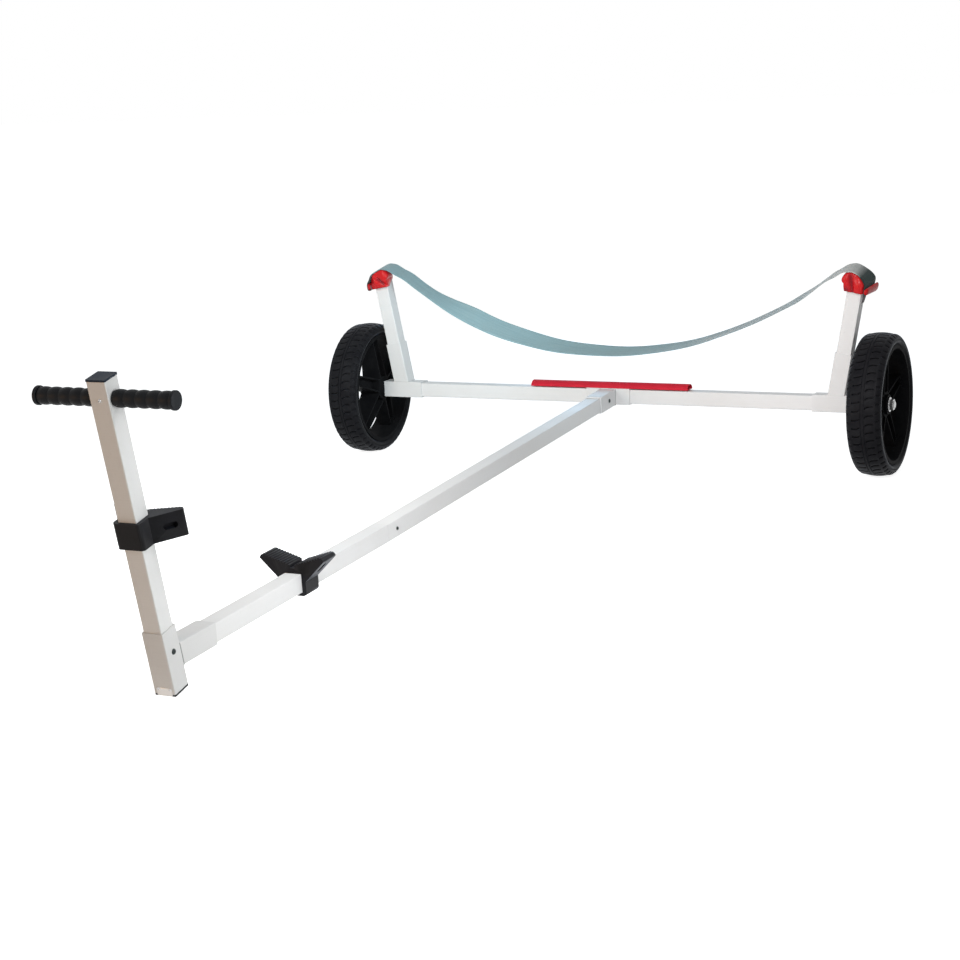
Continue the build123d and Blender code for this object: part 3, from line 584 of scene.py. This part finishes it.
def shape_keeper(u, v, w, keeper):
    """The keeper becomes a rounded bar, taller than the CAD's and less tilted."""
    along = w / CAP_W
    half = (KEEPER_HALF + KEEPER_SWELL * along) * np.sqrt(1 - KEEPER_END * smooth(np.abs(w), 0.026, 0.040) ** 2)
    height = (v - CAD_KEEPER_V - CAD_KEEPER_TILT * along) / CAD_KEEPER_HALF
    v = v + keeper * (height * half + KEEPER_V + KEEPER_TILT * along - v)
    return u + keeper * smooth(u, 0.034, 0.039) * KEEPER_BULGE * (1 - np.clip(height, -1, 1) ** 2), v


def shade_of(u, v, w, side, crease, groove):
    """0 to 1: painted shade on the front, in the creases and in the lower parts beside them, and all round in the
    keeper's groove.
    """
    if side > 0:
        dark = np.maximum(0.75 * crease, 0.8 * hill(u, v, UNDER_ROLL_SHADE, UNDER_ROLL_SHADE_SIZE))
    else:
        broad = bell(u, crease_at(v, side), SHADE_WIDTH) * smooth(v, 0.016, 0.000)
        under = smooth(CREASE[side][1] * (v + 0.004) - u, 0.0, -0.012)
        dark = np.maximum(0.9 * broad * smooth(u, -0.024, -0.014), 0.25 * under)
    return np.clip(np.maximum(dark * smooth(-w, 0.018, 0.028), 0.9 * groove), 0, 1)


def saddle(side):
    """The CAD cap, melted, its front and back swollen into two lobes with a crease between them."""
    name = SIDES[side]
    copy = melted(nodes_of[f"saddle_{name}"], f"crown_{name}")
    mesh = copy.data
    points = np.empty(len(mesh.vertices) * 3)
    mesh.vertices.foreach_get("co", points)
    u, v, w = local(points.reshape(-1, 3), side)
    keeper = smooth(u, 0.029, 0.034)                 # 1 on the ledge that holds the webbing down
    crease = bell(u, crease_at(v, side), CREASE_WIDTH) * smooth(v, 0.034, 0.016)
    groove = bell(u, GROOVE_U, GROOVE_WIDTH) * smooth(np.abs(w), 0.030, 0.037)
    w = shape_faces(u, v, w, side, keeper, crease, groove)
    u = shape_inner(u, v, w, side)
    u, v = shape_keeper(u, v, w, keeper)
    u, v = lean(u, v, w, side)
    # painted shade in the creases, below them and in the keeper's groove, kept as the mesh's shade attribute
    shade = shade_of(u, v, w, side, crease, groove)
    mesh.attributes.new("shade", "FLOAT", "POINT").data.foreach_set("value", shade.astype(np.float32))
    mesh.vertices.foreach_set("co", world(u, v, w, side).ravel())
    mesh.materials.clear()
    mesh.materials.append(MAT["red"])
    last = copy.modifiers.new("last", "SMOOTH")
    last.factor = 0.5
    last.iterations = LAST_MELT
    mesh.shade_smooth()
    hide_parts(f"saddle_{name}")
    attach(copy, "chassis")
    return copy


# ---------------------------------------------------------------- the webbing strap
ROW_STEP, COLUMNS = 0.0025, 23             # between rows along the strap; points across each face
FREE_X, FREE_FADE = 0.585, 0.16            # it lies on the crowns beyond this, and comes to hang free inside it
LEAN_FROM, LEAN_TO = 0.44, 0.62            # where the strap takes up the lean of the crowns
TWIST_X = (-0.60, -0.52, -0.42, -0.30, -0.10, 0.10, 0.35, 0.60)
TWIST = (14, 28, 35, 32, 21, 14, 9, 12.5)  # degrees that its back edge stands above its front one
MORE_FALL, MORE_FALL_X, MORE_FALL_SPAN = math.radians(5.5), 0.555, 0.038      # where it comes off the right crown
CUP, RIPPLES, RIPPLE_TURN, RIPPLE_LAG = 0.0012, 0.0006, 31, 1.7        # of the hanging part, across and along
TAIL, TAIL_X = 0.030, 0.6                  # how much of each end is cut on the slant; both lie beyond this x
SLANT_FROM, SLANT_SPAN, SLANT = -0.018, 0.012, 2.2       # where the cut starts, how far it runs, how steep it is
SAG, DIP = 0.0015, 0.0075                  # lower on the right half, and where it leaves the crowns


def strap_line():
    """The middle line of the CAD strap as (x, z), left to right, read from its front face."""
    bm = bmesh.new()
    bm.from_mesh(nodes_of["strap"].data)
    bmesh.ops.remove_doubles(bm, verts=bm.verts, dist=SAME_POINT)
    bm.normal_update()
    front = min(v.co.y for v in bm.verts)
    rim = {}
    for e in bm.edges:
        on_front = all(abs(v.co.y - front) < SAME_POINT for v in e.verts)
        if on_front and sum(f.normal.y < -0.9 for f in e.link_faces) == 1:
            for a, b in (e.verts, reversed(e.verts)):
                rim.setdefault(a, []).append(b)
    # the loop starts on the right tail, at its lower end
    start = max(rim, key=lambda v: v.co.x - v.co.z * 0.2 if v.co.x > TAIL_X and v.co.z < 0.48 else -9)
    loop, previous = [start], None
    while True:
        onward = [v for v in rim[loop[-1]] if v is not previous]
        previous = loop[-1]
        if onward[0] is start and len(loop) > 2:
            break
        loop.append(onward[0])
    ring = np.array([(v.co.x, v.co.z) for v in loop])
    bm.free()
    # an end of the band is a step as long as the webbing is thick, square to the step before it
    step = np.roll(ring, -1, 0) - ring
    heading = np.arctan2(step[:, 0], step[:, 1])
    square = np.abs(np.cos(np.roll(heading, 1) - heading)) < 0.3
    end = int(np.argmax(square & (np.abs(np.linalg.norm(step, axis=1) - STRAP_THICK) < 0.00004)))
    one = np.roll(ring, -(end + 1), 0)
    n = len(ring) // 2
    line = (one[:n] + one[::-1][:n]) / 2 + (0, STRAP_HALF * math.sin(CROWN_FALL))
    return line if line[0][0] < line[-1][0] else line[::-1]


def resample(line, step):
    """Evenly spaced points on a smooth curve through the line's points, and their places along it."""
    s = np.concatenate([[0], np.cumsum(np.linalg.norm(np.diff(line, axis=0), axis=1))])
    slope = np.gradient(line, s, axis=0)
    at = np.linspace(0, s[-1], int(round(s[-1] / step)) + 1)
    k = np.clip(np.searchsorted(s, at, "right") - 1, 0, len(s) - 2)
    h = s[k + 1] - s[k]
    t = ((at - s[k]) / h)[:, None]
    h = h[:, None]
    curve = ((2 * t ** 3 - 3 * t ** 2 + 1) * line[k] + (t ** 3 - 2 * t ** 2 + t) * h * slope[k]
             + (-2 * t ** 3 + 3 * t ** 2) * line[k + 1] + (t ** 3 - t ** 2) * h * slope[k + 1])
    return curve, at


def in_plane(flat):
    """(x, z) rows as points in the plane of the strap's middle."""
    return np.stack([flat[:, 0], np.zeros(len(flat)), flat[:, 1]], -1)


def strap():
    line, along = resample(strap_line(), ROW_STEP)
    total = float(along[-1])
    x = line[:, 0]
    tangent = np.gradient(line, axis=0)
    tangent /= np.linalg.norm(tangent, axis=1)[:, None]
    rightward = tangent[:, 0] > 0                    # not so where a tail turns down and back
    centre = in_plane(line) + (0, AXLE_Y, 0)
    normal = in_plane(np.stack([-tangent[:, 1], tangent[:, 0]], -1))

    # which way each row lies: twisted between the saddles, and on them as their crowns fall
    free = smooth(FREE_X - np.abs(x), 0.0, FREE_FADE) * rightward
    twist = np.radians(np.interp(x, TWIST_X, TWIST))[:, None]
    fall = CROWN_FALL + MORE_FALL * bell(x, MORE_FALL_X, MORE_FALL_SPAN)
    laid = np.stack([np.zeros(len(x)), np.cos(fall), np.sin(fall)], -1)
    hung = np.cos(twist) * np.array((0, 1, 0)) + np.sin(twist) * normal
    row_dir = hung * free[:, None] + laid * (1 - free[:, None])
    row_dir /= np.linalg.norm(row_dir, axis=1)[:, None]

    # the outline of a row, thin at its edges, a little cupped and rippled where it hangs
    across = np.concatenate([np.linspace(-1, 1, COLUMNS), np.linspace(1, -1, COLUMNS)])
    face = np.concatenate([np.ones(COLUMNS), -np.ones(COLUMNS)])
    taper = np.where(np.abs(across) > 0.999, 0.45, np.where(np.abs(across) > 0.9, 0.92, 1.0))
    cup = CUP * free[:, None] * across ** 2
    ripple = RIPPLES * free[:, None] * np.sin(along[:, None] * RIPPLE_TURN + across * RIPPLE_LAG) * across
    height = face * taper * STRAP_THICK / 2 + cup + ripple
    points = (centre[:, None, :] + row_dir[:, None, :] * (across * STRAP_HALF)[None, :, None]
              + normal[:, None, :] * height[:, :, None])

    # both tails are cut on the slant
    slant = np.clip(across * STRAP_HALF - SLANT_FROM, 0, SLANT_SPAN) * SLANT
    right_tail = smooth(along, total - TAIL, total) * (x > TAIL_X)
    left_tail = smooth(total - along, total - TAIL, total) * (x < -TAIL_X)
    for tail, back in ((right_tail, -1), (left_tail, 1)):
        for j in range(points.shape[1]):
            rows_at = along + back * tail * slant[j]
            for axis in range(3):
                points[:, j, axis] = np.interp(rows_at, along, points[:, j, axis])

    # it sags a little on the right half, and dips where it leaves the crowns
    sag = SAG * smooth(x, 0.0, 0.2) * (1 - smooth(x, 0.60, 0.64))
    dip = DIP * smooth(np.abs(x), 0.40, 0.60) * (1 - smooth(np.abs(x), 0.650, 0.685)) * rightward
    points[..., 2] -= (sag + dip)[:, None]
    flat = points.reshape(-1, 3)
    for side in SIDES:
        near = flat[:, 0] * side > LEAN_FROM
        u, v, w = local(flat[near], side)
        u_new, v_new = lean(u, v, w, side)
        fade = smooth(flat[near][:, 0] * side, LEAN_FROM, LEAN_TO)
        flat[near] = world(u + (u_new - u) * fade, v + (v_new - v) * fade, w, side)

    rows, columns = points.shape[:2]
    obj = piece("strap_webbing", flat, grid_faces(rows, columns), "chassis", "webbing", 70, ("strap",))
    uv = obj.data.uv_layers.new(name="UVMap")
    loops = np.empty(len(obj.data.loops), int)
    obj.data.loops.foreach_get("vertex_index", loops)
    spread = np.stack([(across * STRAP_HALF + face * 0.2)[loops % columns], along[loops // columns]], -1)
    uv.data.foreach_set("uv", spread.ravel())
    return obj


# ---------------------------------------------------------------- bolts, rivets, a plate and welds
BUTTON = [(0.0043, -0.0005), (0.0043, 0.0004), (0.0040, 0.0014), (0.0031, 0.0023), (0.0023, 0.0026), (0.0021, 0.0025),
          (0.0021, 0.0011)]
KEY_ROWS = (5, 6)                          # the hexagonal hole for a key, as rows of the button
RIVET = [(0.0030, -0.0004), (0.0030, 0.0002), (0.0027, 0.0007), (0.0019, 0.0012), (0.0012, 0.0013), (0.0010, 0.0009)]
# label, where the tube starts and runs, how far along it, half the width there, times as wide as the profile
BOLTS = (("rear_tee", axle, rear_dir, 0.0696, SOCKET, 1.35), ("drawbar", axle, rear_dir, 1.3494, TUBE, 1.0),
         ("front_tee", foot, post_dir, 0.0129, SOCKET, 1.35))
RIVETS = (("left", -0.0556, -0.0120), ("right", -0.0566, 0.0130))      # label, along the post, x
RIVET_LIFT = 0.0007                        # they stand on the socket by this
SCREW = [(r * 0.85, h * 0.8) for r, h in BUTTON]         # a smaller button, for the handlebar
SCREW_UP, SCREW_X = 0.5221, 0.0006
PLATE_HALF = (0.017, 0.008)                # of the small plate low on the front socket, x and up
PLATE_ROUND, PLATE_UP = 0.003, 0.0085
PLATE_ROWS = ((0, -0.0003), (0, 0.0005), (0.0003, 0.0007))             # inset and height of its edge's rows
QUADRANTS = ((1, 1), (-1, 1), (-1, -1), (1, -1))
ARC_STEPS = 4
# welds round the uprights' sockets: across the beam and along it; round the drawbar's: across and up the sides
BEAD_R, THIN_BEAD_R, LOW_BEAD_R, LINE_BEAD_R = 0.0021, 0.0007, 0.0018, 0.0010
BEAD_INSET = 0.03                          # a share of the line, left free at each end


def fasteners():
    for label, start, along, distance, side_of, wide in BOLTS:
        for sign, hand in SIDES.items():
            at = start + along * distance + X * side_of * sign
            lathe(f"bolt_{label}_{hand}", at, X * sign, [(r * wide, h) for r, h in BUTTON], "bolt", KEY_ROWS)
    for label, along_post, x in RIVETS:
        at = foot + post_dir * along_post + post_front * (SOCKET + RIVET_LIFT) + X * x
        lathe(f"rivet_{label}", at, post_front, RIVET, "steel")
    at = foot + post_dir * SCREW_UP + post_front * TUBE + X * SCREW_X
    lathe("bar_screw", at, post_front, SCREW, "steel", KEY_ROWS)


def foot_plate():
    """A small plate with rounded corners on the front of the front socket, just above the foot cap."""
    cap = nodes_of["foot_cap"]
    low = min((cap.matrix_world @ v.co - foot).dot(post_dir) for v in cap.data.vertices)
    points = []
    for inset, height in PLATE_ROWS:
        for k, signs in enumerate(QUADRANTS):
            for step in range(ARC_STEPS + 1):
                turn = math.radians(90 * k + 90 * step / ARC_STEPS)
                a, b = (sign * (half - PLATE_ROUND) + (PLATE_ROUND - inset) * part
                        for sign, half, part in zip(signs, PLATE_HALF, (math.cos(turn), math.sin(turn))))
                points.append(foot + post_dir * (low + PLATE_UP + b) + X * a + post_front * (SOCKET + height))
    faces = grid_faces(len(PLATE_ROWS), len(QUADRANTS) * (ARC_STEPS + 1))
    piece("foot_plate", points, faces, "chassis", "plate", 30)


def welds():
    beam_top = axle + Z * SOCKET
    for side, name in SIDES.items():
        corners = seam_corners(upright_foot, upright_dir, upright_out, Y, SOCKET, beam_top, Z)
        corners = [Vector((c.x * side, c.y, c.z)) for c in corners]
        for k, label in ((3, "inner"), (1, "outer")):
            a, b = corners[k], corners[(k + 1) % 4]
            inset = (b - a) * BEAD_INSET
            bead(f"weld_{name}_{label}", a + inset, b - inset, BEAD_R)
        for k, label in ((0, "front"), (2, "back")):
            bead(f"weld_{name}_{label}", corners[k], corners[(k + 1) % 4], THIN_BEAD_R)
    for label, origin, along, point, normal in (
            ("rear_tee", axle, rear_dir, axle - Y * SOCKET, Y),
            ("front_tee", joint, front_dir, foot - post_front * SOCKET, post_front)):
        over = X.cross(along).normalized()
        corners = seam_corners(origin, along, X, over, SOCKET, point, normal)
        for k, edge in enumerate(("low", "right", "high", "left")):
            # the side lines are dark grey, painted shade for the shadow line at each joint
            radius, look = (LINE_BEAD_R, "seam") if edge in ("left", "right") else (LOW_BEAD_R, "bead")
            bead(f"weld_{label}_{edge}", corners[k], corners[(k + 1) % 4], radius, look)


for side in SIDES:
    tyre(side)
for side in SIDES:
    saddle(side)
strap()
fasteners()
foot_plate()
welds()

# ---------------------------------------------------------------- camera
AZIMUTH, ELEVATION, TILT = (math.radians(v) for v in (25.91, 11.75, -2.52))
SENSOR, LENS, DISTANCE = 36, 75.398625, 5.07097          # mm, mm and metres
AIM = Vector((0, AXLE_Y - 0.700, 0.200))
SHIFT_LEFT, SHIFT_DOWN = 0.07458, 0.10387


def set_camera():
    cos_up = math.cos(ELEVATION)
    ahead = Vector((-math.sin(AZIMUTH) * cos_up, math.cos(AZIMUTH) * cos_up, -math.sin(ELEVATION)))
    level = Vector((math.cos(AZIMUTH), math.sin(AZIMUTH), 0))
    over = level.cross(ahead)
    place = AIM - ahead * DISTANCE - level * SHIFT_LEFT - over * SHIFT_DOWN
    rightward = level * math.cos(TILT) + over * math.sin(TILT)
    upward = over * math.cos(TILT) - level * math.sin(TILT)
    data = bpy.data.cameras.new("camera")
    data.sensor_width = SENSOR
    data.lens = LENS
    data.clip_end = 100
    camera = bpy.data.objects.new("camera", data)
    scene.collection.objects.link(camera)
    camera.matrix_world = Matrix([(rightward[i], upward[i], -ahead[i], place[i]) for i in range(3)] + [(0, 0, 0, 1)])
    scene.camera = camera


set_camera()

# ---------------------------------------------------------------- light and floor
# name, place, aimed at, size, power, colour, spread in degrees
LAMPS = (
    ("key_right", (0.65, -0.9, 1.15), (0.1, 1.0, 0.25), 1.0, 15.8, (1, 0.98, 1), 180),
    ("beam_right", (0.75, 0.2, 0.8), (0.45, 1.1, 0.2), 0.4, 0.45, (1, 0.98, 1), 60),
    ("key_left", (-1.0, -0.7, 1.15), (-0.5, 1.1, 0.3), 1.0, 14.0, (0.92, 1, 1), 180),
    ("inner", (0.75, 0.25, 0.9), (-0.7, 1.1, 0.35), 0.5, 0.95, (0.78, 0.94, 1.0), 45),
    ("near", (1.9, -1.65, 0.70), (0, -1.1, 0.30), 0.8, 3.8, (0.97, 1, 0.98), 80),
    ("rim", (-1.15, 3.75, 1.05), (0.0, 1.0, 0.35), 0.6, 7, (0.36, 0.68, 1.0), 180),
    ("fill", (-1.6, -3.4, 0.6), (0, -1.2, 0.3), 1.2, 4.4, (1.0, 0.50, 0.16), 90),
)
WORLD_COLOUR, WORLD_STRENGTH = (0.95, 1.0, 0.98, 1), 0.190
FLOOR_HALF, FLOOR_GREY, FLOOR_GLOW = 40, 0.80, 0.90


def area_lamp(name, at, towards, size, power, colour, spread):
    data = bpy.data.lights.new(name, "AREA")
    data.shape = "DISK"
    data.size = size
    data.energy = power
    data.color = colour
    data.spread = math.radians(spread)
    lamp = bpy.data.objects.new(name, data)
    lamp.location = at
    lamp.rotation_euler = (Vector(towards) - Vector(at)).to_track_quat("-Z", "Y").to_euler()
    scene.collection.objects.link(lamp)


def new_node(tree, kind, links=(), **constants):
    """A node with constants on its named sockets and links into its numbered ones; its first output."""
    node = tree.nodes.new(kind)
    for key, value in constants.items():
        node.inputs[key].default_value = value
    for key, source in enumerate(links):
        tree.links.new(source, node.inputs[key])
    return node.outputs[0]


def seen_rays(tree):
    """1 for the rays that show the background: the camera's, and those of gloss and of glass."""
    path = tree.nodes.new("ShaderNodeLightPath")
    total = path.outputs["Is Camera Ray"]
    for kind in ("Is Glossy Ray", "Is Transmission Ray"):
        either = tree.nodes.new("ShaderNodeMath")
        either.operation = "MAXIMUM"
        tree.links.new(total, either.inputs[0])
        tree.links.new(path.outputs[kind], either.inputs[1])
        total = either.outputs[0]
    return total


def show(tree, lit, white, kind):
    """The lit look for the rays that light the object, and the white one for those that show it."""
    mixed = new_node(tree, "ShaderNodeMixShader", (seen_rays(tree), lit, white))
    tree.links.new(mixed, tree.nodes.new(kind).inputs["Surface"])


def set_world():
    scene.world = bpy.data.worlds.new("world")
    scene.world.use_nodes = True
    tree = scene.world.node_tree
    tree.nodes.clear()
    lit = new_node(tree, "ShaderNodeBackground", Color=WORLD_COLOUR, Strength=WORLD_STRENGTH)
    white = new_node(tree, "ShaderNodeBackground", Color=(1, 1, 1, 1))
    show(tree, lit, white, "ShaderNodeOutputWorld")


def set_floor():
    mesh = bpy.data.meshes.new("floor")
    corners = [(a * FLOOR_HALF, b * FLOOR_HALF, 0) for a, b in ((-1, -1), (1, -1), (1, 1), (-1, 1))]
    mesh.from_pydata(corners, [], [(0, 1, 2, 3)])
    floor = bpy.data.objects.new("floor", mesh)
    scene.collection.objects.link(floor)
    look = bpy.data.materials.new("floor")
    look.use_nodes = True
    tree = look.node_tree
    tree.nodes.clear()
    lit = new_node(tree, "ShaderNodeBsdfDiffuse", Color=grey(FLOOR_GREY))
    glow = new_node(tree, "ShaderNodeEmission", Strength=FLOOR_GLOW)
    show(tree, lit, new_node(tree, "ShaderNodeAddShader", (lit, glow)), "ShaderNodeOutputMaterial")
    mesh.materials.append(look)


for lamp_row in LAMPS:
    area_lamp(*lamp_row)
set_world()
set_floor()

scene.view_settings.view_transform = "Standard"
